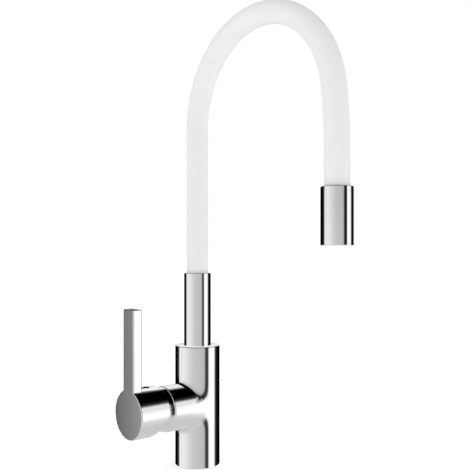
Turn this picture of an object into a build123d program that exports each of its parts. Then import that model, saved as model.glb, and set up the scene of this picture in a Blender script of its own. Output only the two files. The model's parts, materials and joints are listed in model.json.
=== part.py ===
from build123d import *
import math
import os

os.makedirs("parts", exist_ok=True)

# Frame: origin at the centre of the base on the worktop, +Z up, spout over -Y,
# lever arm along -X. All sizes are in millimetres.

# Fits and common allowances
running_gap = 0.08
seat_gap = 0.05
loose_gap = 0.2
overrun = 1.0

# Ceramic cartridge of the common 35 mm size, in its order from the arm's mouth inwards
cartridge_radius = 17.5
cartridge_wall = 1.5
cartridge_neck_wall = 1.8
cartridge_neck_height = 9.0
shoulder_recess = 2.5
shoulder_thickness = 2.5
turret_plate_thickness = 4.2
turret_neck_radius = 10.0
turret_slot_play = 0.75
follower_thickness = 4.9
follower_key_length = 14.0
follower_key_height = 1.5
drive_peg_radius = 1.5
drive_peg_length = 1.6
drive_peg_offset = 9.0
moving_disc_thickness = 4.4
moving_disc_step = 0.8
mixing_pocket_depth = 2.6
mixing_pocket_radius = 7.0
fixed_disc_thickness = 4.5
locating_ring_height = 3.0
locating_ring_wall = 2.3
cartridge_base_thickness = 5.7
cartridge_foot_gap = 0.3
port_radius = 2.6
seal_outer_radius = 3.6
seal_thickness = 1.3

# Spindle, its pivot pin and the ball that pushes the disc
pivot_rise = 0.5
lift_angle = 25.0
pin_radius = 1.5
pin_recess = 1.5
pin_cover = 4.8
spindle_side = 8.0
spindle_heel = 4.2
ball_radius = 2.4
ball_floor_wall = 0.95
ball_arm_width = 4.4
ball_arm_depth = 2.3

# Column and side arm, one brass casting round the cartridge
arm_height = 62.3
arm_reach = 44.5
arm_wall = 3.55
chamber_play = 0.2
mouth_thread_step = 1.9
column_step = 0.15
column_height = 124.2
rim_bevel = 0.6
base_bevel = 0.4

# Underside of the column
gasket_margin = 2.9
gasket_width = 2.6
gasket_thickness = 2.0
inlet_thread_radius = 4.5
inlet_thread_depth = 12.0
inlet_bore_radius = 3.0
inlet_offset_x = 6.0
inlet_offset_y = 7.2
stud_hole_radius = 3.4
stud_hole_depth = 18.0
stud_offset_x = 9.5

# Waterways between the cartridge chamber and the column
inlet_port_rise = 4.5
outlet_port_drop = 7.0
outlet_bore_radius = 3.4
riser_radius = 4.0

# Cartridge nut and dome cover
nut_height = 5.4
nut_notch_count = 6
nut_notch_width = 3.0
nut_notch_depth = 1.8
dome_gap = 0.3
dome_wall = 1.2
dome_opening_angle = 48.5
dome_skirt_height = 3.9

# Lever: round cap and upright blade in one casting
cap_step = 1.25
cap_wall = 1.5
cap_length = 34.8
cap_face_thickness = 3.5
cap_rear_rise = 5.0
cap_relief_angle = 30.0
cap_edge_bevel = 0.35
blade_width = 18.6
blade_thickness = 9.4
blade_rise = 103.3
blade_edge_radius = 1.0
boss_wall = 1.0
boss_setback = 11.0
socket_end_wall = 3.3
socket_end_gap = 1.0
web_wall = 1.0
grub_setback = 3.5
grub_radius = 2.5
grub_length = 8.0
grub_key_radius = 1.4
grub_key_depth = 3.0
plug_radius = 3.6
plug_height = 2.4
plug_recess = 0.5

# Neck: silicone hose over a jointed core, with a water hose inside
hose_radius = 11.1
hose_wall = 1.6
core_gap = 0.9
core_wall = 3.7
water_hose_gap = 0.7
water_hose_wall = 1.2
core_seat_rise = 2.0
neck_rise = 233.4
arch_radius = 96.3
outlet_lean = 6.1
ease_radius = 556.0
joint_count = 6
first_joint_at = 110.0
joint_pitch = 80.0
runs_per_link = 4
least_turn = 0.001
ball_joint_step = 1.0
ball_joint_gap = 0.2
ball_joint_cap = 2.2
socket_grip = 2.2
cup_seat_angle = 45.0
cup_lip = 0.3
knuckle_neck_wall = 1.1
knuckle_neck_rise = 0.2
knuckle_taper = 1.8
ferrule_wall = 1.25
lower_ferrule_height = 31.0
upper_ferrule_height = 18.0

# Chrome sleeve over the foot of the neck
sleeve_wall = 1.4
sleeve_length = 83.6
lip_thickness = 2.0
lip_gap = 0.3
sleeve_bevel = 0.4

# Spout socket in the column, swivel stem and its fittings
sleeve_gap = 0.1
socket_depth = 21.2
journal_step = 3.0
journal_depth = 18.0
journal_foot_gap = 1.5
bush_thickness = 1.2
flange_height = 11.72
keeper_rise = 5.92
keeper_radius = 2.0
keeper_groove_depth = 1.62
keeper_length = 8.0
spigot_gap = 0.15
spigot_height = 10.0
nipple_wall = 0.95
nipple_length = 16.0
ring_section_radius = 0.85
ring_side_gap = 0.35
ring_section_sides = 8
ring_rises = (4.7, 11.7)

# Outlet head
head_ferrule_gap = 0.3
head_wall = 1.3
head_length = 49.9
outlet_run = 74.65
head_top_bevel = 0.7
head_bottom_bevel = 0.3
outlet_nipple_height = 12.0
outlet_seat_depth = 6.0
aerator_recess = 0.9
aerator_ring_height = 13.0
aerator_ring_wall = 2.05
aerator_lip_width = 1.0
aerator_lip_height = 1.4
aerator_seal_thickness = 1.8
aerator_seal_width = 3.05
mesh_thickness = 1.6
mesh_hole_radius = 1.35
mesh_rib = 0.41
mesh_rim = 0.5
mesh_cell_sides = 6
mesh_cell_turn = 30
key_sides = 6
insert_height = 8.0
insert_rim = 1.75
insert_slot_length = 4.4
insert_slot_width = 1.5
insert_slot_count = 12

# Radii that follow from the cartridge: its chamber, the arm, the column, the cap and the dome
chamber_radius = cartridge_radius + chamber_play
mouth_thread_radius = chamber_radius + mouth_thread_step
arm_radius = mouth_thread_radius + arm_wall
column_radius = arm_radius + column_step
gasket_outer_radius = column_radius - gasket_margin
gasket_inner_radius = gasket_outer_radius - gasket_width
cap_radius = arm_radius + cap_step
cap_bore = cap_radius - cap_wall
dome_radius = cap_bore - dome_gap
housing_bore = cartridge_radius - cartridge_wall
locating_outer = housing_bore - seat_gap
locating_bore = locating_outer - locating_ring_wall
fixed_disc_radius = locating_bore - seat_gap
moving_disc_radius = fixed_disc_radius - moving_disc_step
turret_radius = housing_bore - loose_gap
neck_bore = turret_neck_radius + loose_gap
cartridge_neck_radius = neck_bore + cartridge_neck_wall

# Radii that follow from the hose: the core, the ferrules, the sleeve, its socket and the head
hose_bore = hose_radius - hose_wall
core_radius = hose_bore - core_gap
core_bore = core_radius - core_wall
water_hose_radius = core_bore - water_hose_gap
water_hose_bore = water_hose_radius - water_hose_wall
nipple_radius = water_hose_bore - seat_gap
stem_bore = nipple_radius - nipple_wall
ferrule_bore = hose_radius + seat_gap
ferrule_radius = ferrule_bore + ferrule_wall
sleeve_bore = ferrule_radius + loose_gap
sleeve_radius = sleeve_bore + sleeve_wall
socket_radius = sleeve_radius + sleeve_gap
journal_bore = socket_radius - journal_step
head_bore = ferrule_radius + head_ferrule_gap
head_radius = head_bore + head_wall
lip_bore = hose_radius + lip_gap

# Places in the cartridge stack, measured outwards along the arm
shoulder_end = arm_reach - shoulder_recess
shoulder_start = shoulder_end - shoulder_thickness
turret_plate_end = shoulder_start - loose_gap
turret_start = turret_plate_end - turret_plate_thickness
follower_end = turret_start - loose_gap
follower_start = follower_end - follower_thickness
moving_disc_end = follower_start - seat_gap
moving_disc_start = moving_disc_end - moving_disc_thickness
fixed_disc_end = moving_disc_start - seat_gap
base_end = fixed_disc_end - fixed_disc_thickness
base_start = base_end - cartridge_base_thickness
chamber_floor = base_start - cartridge_foot_gap
cartridge_neck_end = shoulder_end + cartridge_neck_height
nut_start = shoulder_end + seat_gap
nut_end = nut_start + nut_height
pivot_reach = arm_reach + pivot_rise
turret_neck_end = pivot_reach + pin_cover
ball_reach = follower_start + ball_floor_wall + seat_gap + ball_radius
ball_arm_length = pivot_reach - ball_reach
disc_travel = ball_arm_length * math.sin(math.radians(lift_angle))
disc_rest = -disc_travel / 2
turret_slot_width = spindle_side + 2 * loose_gap
turret_slot_length = follower_key_length + disc_travel + 2 * turret_slot_play
follower_key_width = turret_slot_width - loose_gap

# Places in the lever, also measured along the arm
cap_rear_reach = pivot_reach + cap_rear_rise
cap_face_reach = cap_rear_reach + cap_length
face_back = cap_face_reach - cap_face_thickness
boss_start = cap_rear_reach + boss_setback
grub_reach = boss_start + grub_setback
spindle_socket_end = face_back - socket_end_wall
spindle_end = spindle_socket_end - socket_end_gap
spindle_socket_side = spindle_side + loose_gap
boss_radius = spindle_socket_side / math.sqrt(2) + boss_wall
web_width = 2 * (grub_radius + web_wall)

# Heights in the spout socket, measured down from the top of the column
socket_floor = column_height - socket_depth
journal_floor = socket_floor - journal_depth
journal_foot = journal_floor + journal_foot_gap
flange_foot = socket_floor + bush_thickness + running_gap
flange_top = flange_foot + flange_height
flange_radius = socket_radius - running_gap
keeper_height = flange_foot + keeper_rise
keeper_groove_radius = flange_radius - keeper_groove_depth
keeper_groove_height = 2 * (keeper_radius + loose_gap)
neck_seat = flange_top + core_seat_rise
sleeve_top = flange_top + sleeve_length

# Line of the neck: up, over the arch, a slow curve down, and straight to the head
lean = math.radians(outlet_lean)
arch_start = neck_seat + neck_rise
reach = arch_radius * (1 + math.cos(lean)) + ease_radius * (1 - math.cos(lean))
ease_end = arch_start - (ease_radius - arch_radius) * math.sin(lean)
head_bottom = ease_end - outlet_run
head_top = head_bottom + head_length
print("outlet height", round(head_bottom, 1), "reach", round(reach, 1))

# Planes and axes: local Z of arm_plane runs outwards along the arm, local Y is up
arm_plane = Plane(origin=(0, 0, arm_height), x_dir=(0, -1, 0), z_dir=(-1, 0, 0))
arm_axis = Axis((0, 0, arm_height), (-1, 0, 0))
arm_section = Plane(origin=(0, 0, arm_height), x_dir=(0, 0, 1), z_dir=(0, -1, 0))
column_section = Plane.XZ
neck_plane = Plane(origin=(0, 0, 0), x_dir=(0, -1, 0), z_dir=(-1, 0, 0))
pin_plane = Plane(origin=(-pivot_reach, 0, arm_height), x_dir=(1, 0, 0), z_dir=(0, 1, 0))


def outline(plane, points):
    # A closed face from its corner points
    with BuildSketch(plane) as shape:
        with BuildLine():
            Polyline(*points, close=True)
        make_face()
    return shape.sketch


def ring(plane, outer, inner=0.0):
    # A disc, or a ring where an inner radius is given
    with BuildSketch(plane) as shape:
        Circle(outer)
        if inner > 0:
            Circle(inner, mode=Mode.SUBTRACT)
    return shape.sketch


def save(builder, name):
    builder.part.label = name
    export_step(builder.part, f"parts/{name}.step")
    print(name, round(builder.part.volume), "mm3")


# Ports of the cartridge, in the arm plane
inlet_ports = [(-inlet_offset_y, inlet_port_rise), (inlet_offset_y, inlet_port_rise)]
outlet_port = (0, -outlet_port_drop)
all_ports = inlet_ports + [outlet_port]

# Tap body
with BuildPart() as tap_body:
    extrude(ring(Plane.XY, column_radius), amount=column_height)
    extrude(ring(arm_plane, arm_radius), amount=arm_reach)
    rims = tap_body.edges().filter_by(GeomType.CIRCLE)
    chamfer([rims.sort_by(Axis.X)[0], rims.sort_by(Axis.Z)[-1]], rim_bevel)
    chamfer(tap_body.edges().filter_by(GeomType.CIRCLE).sort_by(Axis.Z)[0], base_bevel)
    chamber = [
        (0, chamber_floor),
        (chamber_radius, chamber_floor),
        (chamber_radius, shoulder_start),
        (mouth_thread_radius, shoulder_start),
        (mouth_thread_radius, arm_reach + overrun),
        (0, arm_reach + overrun),
    ]
    revolve(outline(arm_section, chamber), axis=arm_axis, mode=Mode.SUBTRACT)
    spout_socket = [
        (0, journal_floor),
        (journal_bore, journal_floor),
        (journal_bore, socket_floor),
        (socket_radius, socket_floor),
        (socket_radius, column_height + overrun),
        (0, column_height + overrun),
    ]
    revolve(outline(column_section, spout_socket), axis=Axis.Z, mode=Mode.SUBTRACT)
    extrude(
        ring(Plane.XY, gasket_outer_radius + seat_gap, gasket_inner_radius - seat_gap),
        amount=gasket_thickness,
        mode=Mode.SUBTRACT,
    )
    # Two supply inlets, each a threaded hole that meets a port from the chamber
    for side in (-1, 1):
        inlet = (-inlet_offset_x, side * inlet_offset_y)
        with BuildSketch(Plane.XY):
            with Locations(inlet):
                Circle(inlet_thread_radius)
        extrude(amount=inlet_thread_depth, mode=Mode.SUBTRACT)
        with BuildSketch(Plane.XY):
            with Locations(inlet):
                Circle(inlet_bore_radius)
        rise = arm_height + inlet_port_rise + inlet_bore_radius
        extrude(amount=rise + overrun, mode=Mode.SUBTRACT)
    with BuildSketch(arm_plane.offset(inlet_offset_x)):
        with Locations(*inlet_ports):
            Circle(inlet_bore_radius - seat_gap)
    extrude(amount=chamber_floor - inlet_offset_x + overrun, mode=Mode.SUBTRACT)
    # Mixed water runs back to the axis of the column and up to the spout
    with BuildSketch(arm_plane):
        with Locations(outlet_port):
            Circle(outlet_bore_radius)
    extrude(amount=chamber_floor + overrun, mode=Mode.SUBTRACT)
    riser_foot = arm_height - outlet_port_drop - riser_radius
    extrude(
        ring(Plane.XY.offset(riser_foot), riser_radius),
        amount=journal_floor + overrun - riser_foot,
        mode=Mode.SUBTRACT,
    )
    with BuildSketch(Plane.XY):
        with Locations((stud_offset_x, 0)):
            Circle(stud_hole_radius)
    extrude(amount=stud_hole_depth, mode=Mode.SUBTRACT)
    # Threaded hole at the back for the screw that keeps the spout in
    keeper_plane = Plane(origin=(0, 0, keeper_height), x_dir=(1, 0, 0), z_dir=(0, 1, 0))
    extrude(
        ring(keeper_plane, keeper_radius + seat_gap),
        amount=column_radius + overrun,
        mode=Mode.SUBTRACT,
    )
save(tap_body, "tap_body")

with BuildPart() as base_gasket:
    extrude(ring(Plane.XY, gasket_outer_radius, gasket_inner_radius), amount=gasket_thickness)
save(base_gasket, "base_gasket")

# Cartridge foot with its locating ring and three seals
with BuildPart() as cartridge_base:
    extrude(
        ring(arm_plane.offset(base_start), cartridge_radius - loose_gap),
        amount=cartridge_base_thickness,
    )
    extrude(
        ring(arm_plane.offset(base_end), locating_outer, locating_bore),
        amount=locating_ring_height,
    )
    with BuildSketch(arm_plane.offset(base_start)):
        with Locations(*all_ports):
            Circle(port_radius)
    extrude(amount=cartridge_base_thickness, mode=Mode.SUBTRACT)
    seal_start = chamber_floor + seat_gap
    with BuildSketch(arm_plane.offset(base_start)):
        with Locations(*all_ports):
            Circle(seal_outer_radius + seat_gap)
    extrude(amount=seal_start + seal_thickness + seat_gap - base_start, mode=Mode.SUBTRACT)
save(cartridge_base, "cartridge_base")

with BuildPart() as port_seals:
    with BuildSketch(arm_plane.offset(seal_start)):
        with Locations(*all_ports):
            Circle(seal_outer_radius)
            Circle(port_radius, mode=Mode.SUBTRACT)
    extrude(amount=seal_thickness)
save(port_seals, "port_seals")

# Ceramic discs: the inlets lie above the axis and the outlet below it
with BuildPart() as fixed_ceramic_disc:
    extrude(ring(arm_plane.offset(base_end), fixed_disc_radius), amount=fixed_disc_thickness)
    with BuildSketch(arm_plane.offset(base_end)):
        with Locations(*all_ports):
            Circle(port_radius - seat_gap)
    extrude(amount=fixed_disc_thickness, mode=Mode.SUBTRACT)
save(fixed_ceramic_disc, "fixed_ceramic_disc")

disc_plane = arm_plane.offset(moving_disc_start)
with BuildPart() as moving_ceramic_disc:
    with BuildSketch(disc_plane):
        with Locations((0, disc_rest)):
            Circle(moving_disc_radius)
    extrude(amount=moving_disc_thickness)
    # The mixing pocket faces the fixed disc and stays under the outlet
    with BuildSketch(disc_plane):
        with Locations((0, disc_rest - port_radius)):
            Circle(mixing_pocket_radius)
    extrude(amount=mixing_pocket_depth, mode=Mode.SUBTRACT)
    with BuildSketch(disc_plane.offset(moving_disc_thickness - drive_peg_length)):
        with Locations((-drive_peg_offset, disc_rest), (drive_peg_offset, disc_rest)):
            Circle(drive_peg_radius + seat_gap)
    extrude(amount=drive_peg_length, mode=Mode.SUBTRACT)
save(moving_ceramic_disc, "moving_ceramic_disc")

with BuildPart() as disc_follower:
    with BuildSketch(arm_plane.offset(follower_start)):
        with Locations((0, disc_rest)):
            Circle(moving_disc_radius)
    extrude(amount=follower_thickness)
    with BuildSketch(arm_plane.offset(follower_end)):
        with Locations((0, disc_rest)):
            Rectangle(follower_key_width, follower_key_length)
    extrude(amount=follower_key_height)
    with BuildSketch(arm_plane.offset(follower_start - drive_peg_length + seat_gap)):
        with Locations((-drive_peg_offset, disc_rest), (drive_peg_offset, disc_rest)):
            Circle(drive_peg_radius)
    extrude(amount=drive_peg_length)
    # Pocket that the spindle's ball pushes to and fro
    pocket_floor = follower_start + ball_floor_wall
    with BuildSketch(arm_plane.offset(pocket_floor)):
        pocket_side = 2 * (ball_radius + loose_gap)
        Rectangle(pocket_side, pocket_side)
    extrude(
        amount=follower_end + follower_key_height + overrun - pocket_floor,
        mode=Mode.SUBTRACT,
    )
save(disc_follower, "disc_follower")

# Turret that turns with the lever and carries the pivot pin
with BuildPart() as spindle_carrier:
    extrude(ring(arm_plane.offset(turret_start), turret_radius), amount=turret_plate_thickness)
    extrude(
        ring(arm_plane.offset(turret_plate_end), turret_neck_radius),
        amount=turret_neck_end - turret_plate_end,
    )
    with BuildSketch(arm_plane.offset(turret_start)):
        Rectangle(turret_slot_width, turret_slot_length)
    extrude(amount=turret_neck_end - turret_start, mode=Mode.SUBTRACT)
    extrude(
        ring(pin_plane.offset(-turret_neck_radius), pin_radius + seat_gap),
        amount=2 * turret_neck_radius,
        mode=Mode.SUBTRACT,
    )
save(spindle_carrier, "spindle_carrier")

with BuildPart() as spindle_pin:
    pin_length = 2 * (turret_neck_radius - pin_recess)
    extrude(ring(pin_plane.offset(-pin_length / 2), pin_radius), amount=pin_length)
save(spindle_pin, "spindle_pin")

with BuildPart() as cartridge_spindle:
    with BuildSketch(arm_plane.offset(pivot_reach - spindle_heel)):
        Rectangle(spindle_side, spindle_side)
    extrude(amount=spindle_heel + spindle_end - pivot_reach)
    with BuildSketch(arm_plane.offset(ball_reach)):
        Rectangle(ball_arm_width, ball_arm_depth)
    extrude(amount=ball_arm_length - spindle_heel + seat_gap)
    foot_plane = Plane(origin=(-ball_reach, 0, arm_height), x_dir=(1, 0, 0), z_dir=(0, 1, 0))
    extrude(ring(foot_plane, ball_radius), amount=ball_arm_width / 2, both=True)
    extrude(
        ring(pin_plane.offset(-spindle_side), pin_radius + running_gap),
        amount=2 * spindle_side,
        mode=Mode.SUBTRACT,
    )
save(cartridge_spindle, "cartridge_spindle")

with BuildPart() as cartridge_housing:
    shell = [
        (housing_bore, base_end),
        (cartridge_radius, base_end),
        (cartridge_radius, shoulder_end),
        (cartridge_neck_radius, shoulder_end),
        (cartridge_neck_radius, cartridge_neck_end),
        (neck_bore, cartridge_neck_end),
        (neck_bore, shoulder_start),
        (housing_bore, shoulder_start),
    ]
    revolve(outline(arm_section, shell), axis=arm_axis)
save(cartridge_housing, "cartridge_housing")

with BuildPart() as cartridge_nut:
    nut_bore = cartridge_neck_radius + loose_gap
    extrude(
        ring(arm_plane.offset(nut_start), mouth_thread_radius - seat_gap, nut_bore),
        amount=nut_height,
    )
    with BuildSketch(arm_plane.offset(nut_end - nut_notch_depth)):
        with PolarLocations(mouth_thread_radius, nut_notch_count):
            Rectangle(nut_notch_width, nut_notch_width)
    extrude(amount=nut_notch_depth, mode=Mode.SUBTRACT)
save(cartridge_nut, "cartridge_nut")

# Dome: a ball face centred on the pivot, so the cap clears it at every tilt
with BuildPart() as dome_cover:
    skirt_start = arm_reach + seat_gap
    skirt_end = skirt_start + dome_skirt_height
    skirt_bore = mouth_thread_radius + seat_gap
    dome_bore = dome_radius - dome_wall
    foot_rise = skirt_start - pivot_reach
    foot_radius = math.sqrt(dome_radius**2 - foot_rise**2)
    top_rise = skirt_end - pivot_reach
    top_radius = math.sqrt(dome_bore**2 - top_rise**2)
    foot_angle = math.degrees(math.asin(foot_rise / dome_radius))
    top_angle = math.degrees(math.asin(top_rise / dome_bore))
    lip_angle = 90 - dome_opening_angle
    with BuildSketch(arm_section):
        with BuildLine():
            centre = (0, pivot_reach)
            outside = CenterArc(centre, dome_radius, foot_angle, lip_angle - foot_angle)
            inside = CenterArc(centre, dome_bore, lip_angle, top_angle - lip_angle)
            Line(outside @ 1, inside @ 0)
            Polyline(
                inside @ 1,
                (skirt_bore, skirt_end),
                (skirt_bore, skirt_start),
                outside @ 0,
            )
        make_face()
    revolve(axis=arm_axis)
save(dome_cover, "dome_cover")

# Lever: the cap is a turned cup, the blade stands flush with its face
with BuildPart() as lever_handle:
    cup = [
        (0, face_back),
        (cap_bore, face_back),
        (cap_bore, cap_rear_reach),
        (cap_radius, cap_rear_reach),
        (cap_radius, cap_face_reach - cap_edge_bevel),
        (cap_radius - cap_edge_bevel, cap_face_reach),
        (0, cap_face_reach),
    ]
    revolve(outline(arm_section, cup), axis=arm_axis)
    blade_foot = cap_radius - 2 * cap_wall
    with BuildSketch(Plane.XY.offset(arm_height + blade_foot)):
        with Locations((-cap_face_reach + blade_thickness / 2, 0)):
            RectangleRounded(blade_thickness, blade_width, blade_edge_radius)
    extrude(amount=blade_rise - blade_foot)
    chamfer(lever_handle.faces().sort_by(Axis.Z)[-1].edges(), cap_edge_bevel)
    # Relief under the rear of the cap, so that the lever can be lifted
    drop = cap_radius + overrun
    relief = [
        (0, cap_rear_reach),
        (-drop, cap_rear_reach + drop * math.tan(math.radians(cap_relief_angle))),
        (-drop, cap_rear_reach - overrun),
        (0, cap_rear_reach - overrun),
    ]
    extrude(outline(arm_section, relief), amount=drop, both=True, mode=Mode.SUBTRACT)
    extrude(
        ring(arm_plane.offset(boss_start), boss_radius),
        amount=face_back - boss_start + seat_gap,
    )
    with BuildSketch(arm_plane.offset(boss_start)):
        with Locations((0, cap_bore / 2)):
            Rectangle(web_width, cap_bore)
    extrude(amount=2 * (grub_reach - boss_start))
    with BuildSketch(arm_plane.offset(boss_start)):
        Rectangle(spindle_socket_side, spindle_socket_side)
    extrude(amount=spindle_socket_end - boss_start, mode=Mode.SUBTRACT)
    grub_plane = Plane(origin=(-grub_reach, 0, arm_height))
    extrude(
        ring(grub_plane, grub_radius + seat_gap),
        amount=cap_radius,
        mode=Mode.SUBTRACT,
    )
    plug_foot = cap_radius - plug_recess - plug_height
    extrude(
        ring(grub_plane.offset(plug_foot), plug_radius + seat_gap),
        amount=plug_height + plug_recess + overrun,
        mode=Mode.SUBTRACT,
    )
save(lever_handle, "lever_handle")

with BuildPart() as lever_grub_screw:
    grub_foot = spindle_side / 2 + seat_gap
    extrude(ring(grub_plane.offset(grub_foot), grub_radius), amount=grub_length)
    with BuildSketch(grub_plane.offset(grub_foot + grub_length - grub_key_depth)):
        RegularPolygon(grub_key_radius, key_sides)
    extrude(amount=grub_key_depth, mode=Mode.SUBTRACT)
save(lever_grub_screw, "lever_grub_screw")

with BuildPart() as screw_plug:
    extrude(ring(grub_plane.offset(plug_foot), plug_radius), amount=plug_height)
save(screw_plug, "screw_plug")

# Swivel joint of the spout
with BuildPart() as swivel_bush:
    extrude(
        ring(Plane.XY.offset(socket_floor), socket_radius - loose_gap, journal_bore + seat_gap),
        amount=bush_thickness,
    )
save(swivel_bush, "swivel_bush")

with BuildPart() as swivel_stem:
    journal_radius = journal_bore - running_gap
    spigot_radius = sleeve_bore - spigot_gap
    spigot_top = flange_top + spigot_height
    nipple_top = neck_seat + nipple_length
    core_seat_radius = core_radius + seat_gap
    stem = [
        (stem_bore, journal_foot),
        (journal_radius, journal_foot),
        (journal_radius, flange_foot),
        (flange_radius, flange_foot),
        (flange_radius, flange_top),
        (spigot_radius, flange_top),
        (spigot_radius, spigot_top),
        (core_seat_radius, spigot_top),
        (core_seat_radius, neck_seat),
        (nipple_radius, neck_seat),
        (nipple_radius, nipple_top),
        (stem_bore, nipple_top),
    ]
    revolve(outline(column_section, stem), axis=Axis.Z)
    ring_groove_radius = journal_bore - 2 * (seat_gap + ring_section_radius)
    ring_groove_width = 2 * (ring_section_radius + ring_side_gap)
    for rise in ring_rises:
        groove_foot = journal_foot + rise - ring_groove_width / 2
        extrude(
            ring(Plane.XY.offset(groove_foot), journal_radius + overrun, ring_groove_radius),
            amount=ring_groove_width,
            mode=Mode.SUBTRACT,
        )
    extrude(
        ring(
            Plane.XY.offset(keeper_height - keeper_groove_height / 2),
            flange_radius + overrun,
            keeper_groove_radius,
        ),
        amount=keeper_groove_height,
        mode=Mode.SUBTRACT,
    )
save(swivel_stem, "swivel_stem")

with BuildPart() as stem_o_rings:
    ring_centre = journal_bore - seat_gap - ring_section_radius
    for rise in ring_rises:
        with BuildSketch(column_section):
            with Locations((ring_centre, journal_foot + rise)):
                RegularPolygon(ring_section_radius, ring_section_sides)
        revolve(axis=Axis.Z)
save(stem_o_rings, "stem_o_rings")

with BuildPart() as spout_keeper_screw:
    keeper_tip = keeper_groove_radius + loose_gap
    extrude(ring(keeper_plane.offset(keeper_tip), keeper_radius - seat_gap), amount=keeper_length)
    key_floor = keeper_tip + keeper_length - grub_key_depth
    with BuildSketch(keeper_plane.offset(key_floor)):
        RegularPolygon(grub_key_radius, key_sides)
    extrude(amount=grub_key_depth, mode=Mode.SUBTRACT)
save(spout_keeper_screw, "spout_keeper_screw")

with BuildPart() as spout_sleeve:
    tube = [
        (sleeve_bore, flange_top),
        (sleeve_radius, flange_top),
        (sleeve_radius, sleeve_top),
        (lip_bore, sleeve_top),
        (lip_bore, sleeve_top - lip_thickness),
        (sleeve_bore, sleeve_top - lip_thickness),
    ]
    revolve(outline(column_section, tube), axis=Axis.Z)
    crown = spout_sleeve.faces().sort_by(Axis.Z)[-1]
    chamfer(crown.edges().sort_by(SortBy.LENGTH)[-1], sleeve_bevel)
save(spout_sleeve, "spout_sleeve")

# Guide line of the neck, from its seat in the stem to its seat in the head
seal_foot = head_bottom + aerator_recess + aerator_ring_height + seat_gap
nipple_foot = seal_foot + aerator_seal_thickness + seat_gap
nipple_shoulder = nipple_foot + outlet_nipple_height
core_end = nipple_shoulder - outlet_seat_depth
with BuildLine(neck_plane) as neck_guide:
    foot_line = Line((0, neck_seat), (0, arch_start))
    arch = JernArc(foot_line @ 1, foot_line % 1, arch_radius, -(180 - outlet_lean))
    ease = JernArc(arch @ 1, arch % 1, ease_radius, -outlet_lean)
    Line(ease @ 1, ease @ 1 + (ease % 1) * (ease_end - core_end))
neck_line = neck_guide.wire()
neck_length = neck_line.length
print("neck length", round(neck_length, 1))

ball_joint_radius = core_radius - ball_joint_step
ball_back = ball_joint_radius - ball_joint_cap
knuckle_neck_radius = core_bore + knuckle_neck_wall
knuckle_neck_end = ball_joint_radius + knuckle_neck_rise
knuckle_end = knuckle_neck_end + knuckle_taper


def neck_spot(distance):
    share = distance / neck_length
    return neck_line.position_at(share), neck_line.tangent_at(share)


def smooth_run(start, end):
    # The stretch of the neck line between two distances from its seat
    return neck_line.trim(start / neck_length, end / neck_length)


def straight_runs(start, end):
    # The same stretch in short straight runs that touch the neck line in their middles
    stations = [start]
    for step in range(int(neck_length * runs_per_link / joint_pitch)):
        station = first_joint_at + step * joint_pitch / runs_per_link
        if start < station < end:
            stations.append(station)
    stations.append(end)
    corners = [neck_spot(start)[0]]
    for here, there in zip(stations, stations[1:]):
        (spot, heading), (next_spot, next_heading) = neck_spot(here), neck_spot(there)
        turn = heading.cross(next_heading).X
        if abs(turn) > least_turn:
            corners.append(spot + heading * ((next_spot - spot).cross(next_heading).X / turn))
    corners.append(neck_spot(end)[0])
    with BuildLine() as runs:
        Polyline(*corners)
    return runs.wire()


def neck_tube(path, outer, inner, mode=Mode.ADD):
    # A tube that follows a path, mitred where the path has corners
    mouth = Plane(origin=path @ 0, x_dir=(1, 0, 0), z_dir=path % 0)
    sweep(ring(mouth, outer, inner), path=path, transition=Transition.RIGHT, mode=mode)


def knuckle_section(distance):
    # Plane through a joint: local X is sideways, local Y runs along the neck
    spot, heading = neck_spot(distance)
    side = Vector(1, 0, 0)
    return Plane(origin=spot, x_dir=side, z_dir=side.cross(heading)), Axis(spot, heading)


def joint_distance(number):
    return first_joint_at + number * joint_pitch


def cut_ball(distance):
    # Cut the tube's foot down to a ball on a narrow neck that widens into the tube
    section, axis = knuckle_section(distance)
    back = -ball_back - overrun
    back_angle = math.degrees(math.asin(back / ball_joint_radius))
    front_angle = math.degrees(math.acos(knuckle_neck_radius / ball_joint_radius))
    slope = (knuckle_end - knuckle_neck_end) / (core_radius - knuckle_neck_radius)
    clear_radius = core_radius + overrun
    with BuildSketch(section) as shape:
        with BuildLine():
            ball = CenterArc((0, 0), ball_joint_radius, back_angle, front_angle - back_angle)
            Polyline(
                ball @ 1,
                (knuckle_neck_radius, knuckle_neck_end),
                (clear_radius, knuckle_end + overrun * slope),
                (clear_radius, back),
                ball @ 0,
            )
        make_face()
    revolve(shape.sketch, axis=axis, mode=Mode.SUBTRACT)


def cut_cup(distance):
    # Cut a cup round the next ball: a cone seat, a straight wall and a lip that holds it
    section, axis = knuckle_section(distance)
    cup = ball_joint_radius + ball_joint_gap
    seat_depth = cup * math.tan(math.radians(cup_seat_angle / 2))
    floor = -cup / math.cos(math.radians(cup_seat_angle))
    profile = [
        (0, floor),
        (cup, -seat_depth),
        (cup, 0),
        (cup - cup_lip, socket_grip),
        (cup - cup_lip, socket_grip + overrun),
        (0, socket_grip + overrun),
    ]
    revolve(outline(section, profile), axis=axis, mode=Mode.SUBTRACT)


# Core links: each has a ball at its foot, and at its head a cup that grips the next
for number in range(joint_count + 1):
    is_first = number == 0
    is_last = number == joint_count
    foot = 0 if is_first else joint_distance(number - 1) - ball_back
    head = neck_length if is_last else joint_distance(number) + socket_grip
    with BuildPart() as neck_link:
        neck_tube(straight_runs(foot, head), core_radius, core_bore)
        if not is_first:
            cut_ball(joint_distance(number - 1))
        if not is_last:
            cut_cup(joint_distance(number))
    save(neck_link, f"neck_link_{number + 1}")

for number in range(joint_count):
    spot, heading = neck_spot(joint_distance(number))
    print("joint", number + 1, "at", spot, "heading", heading)

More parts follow.
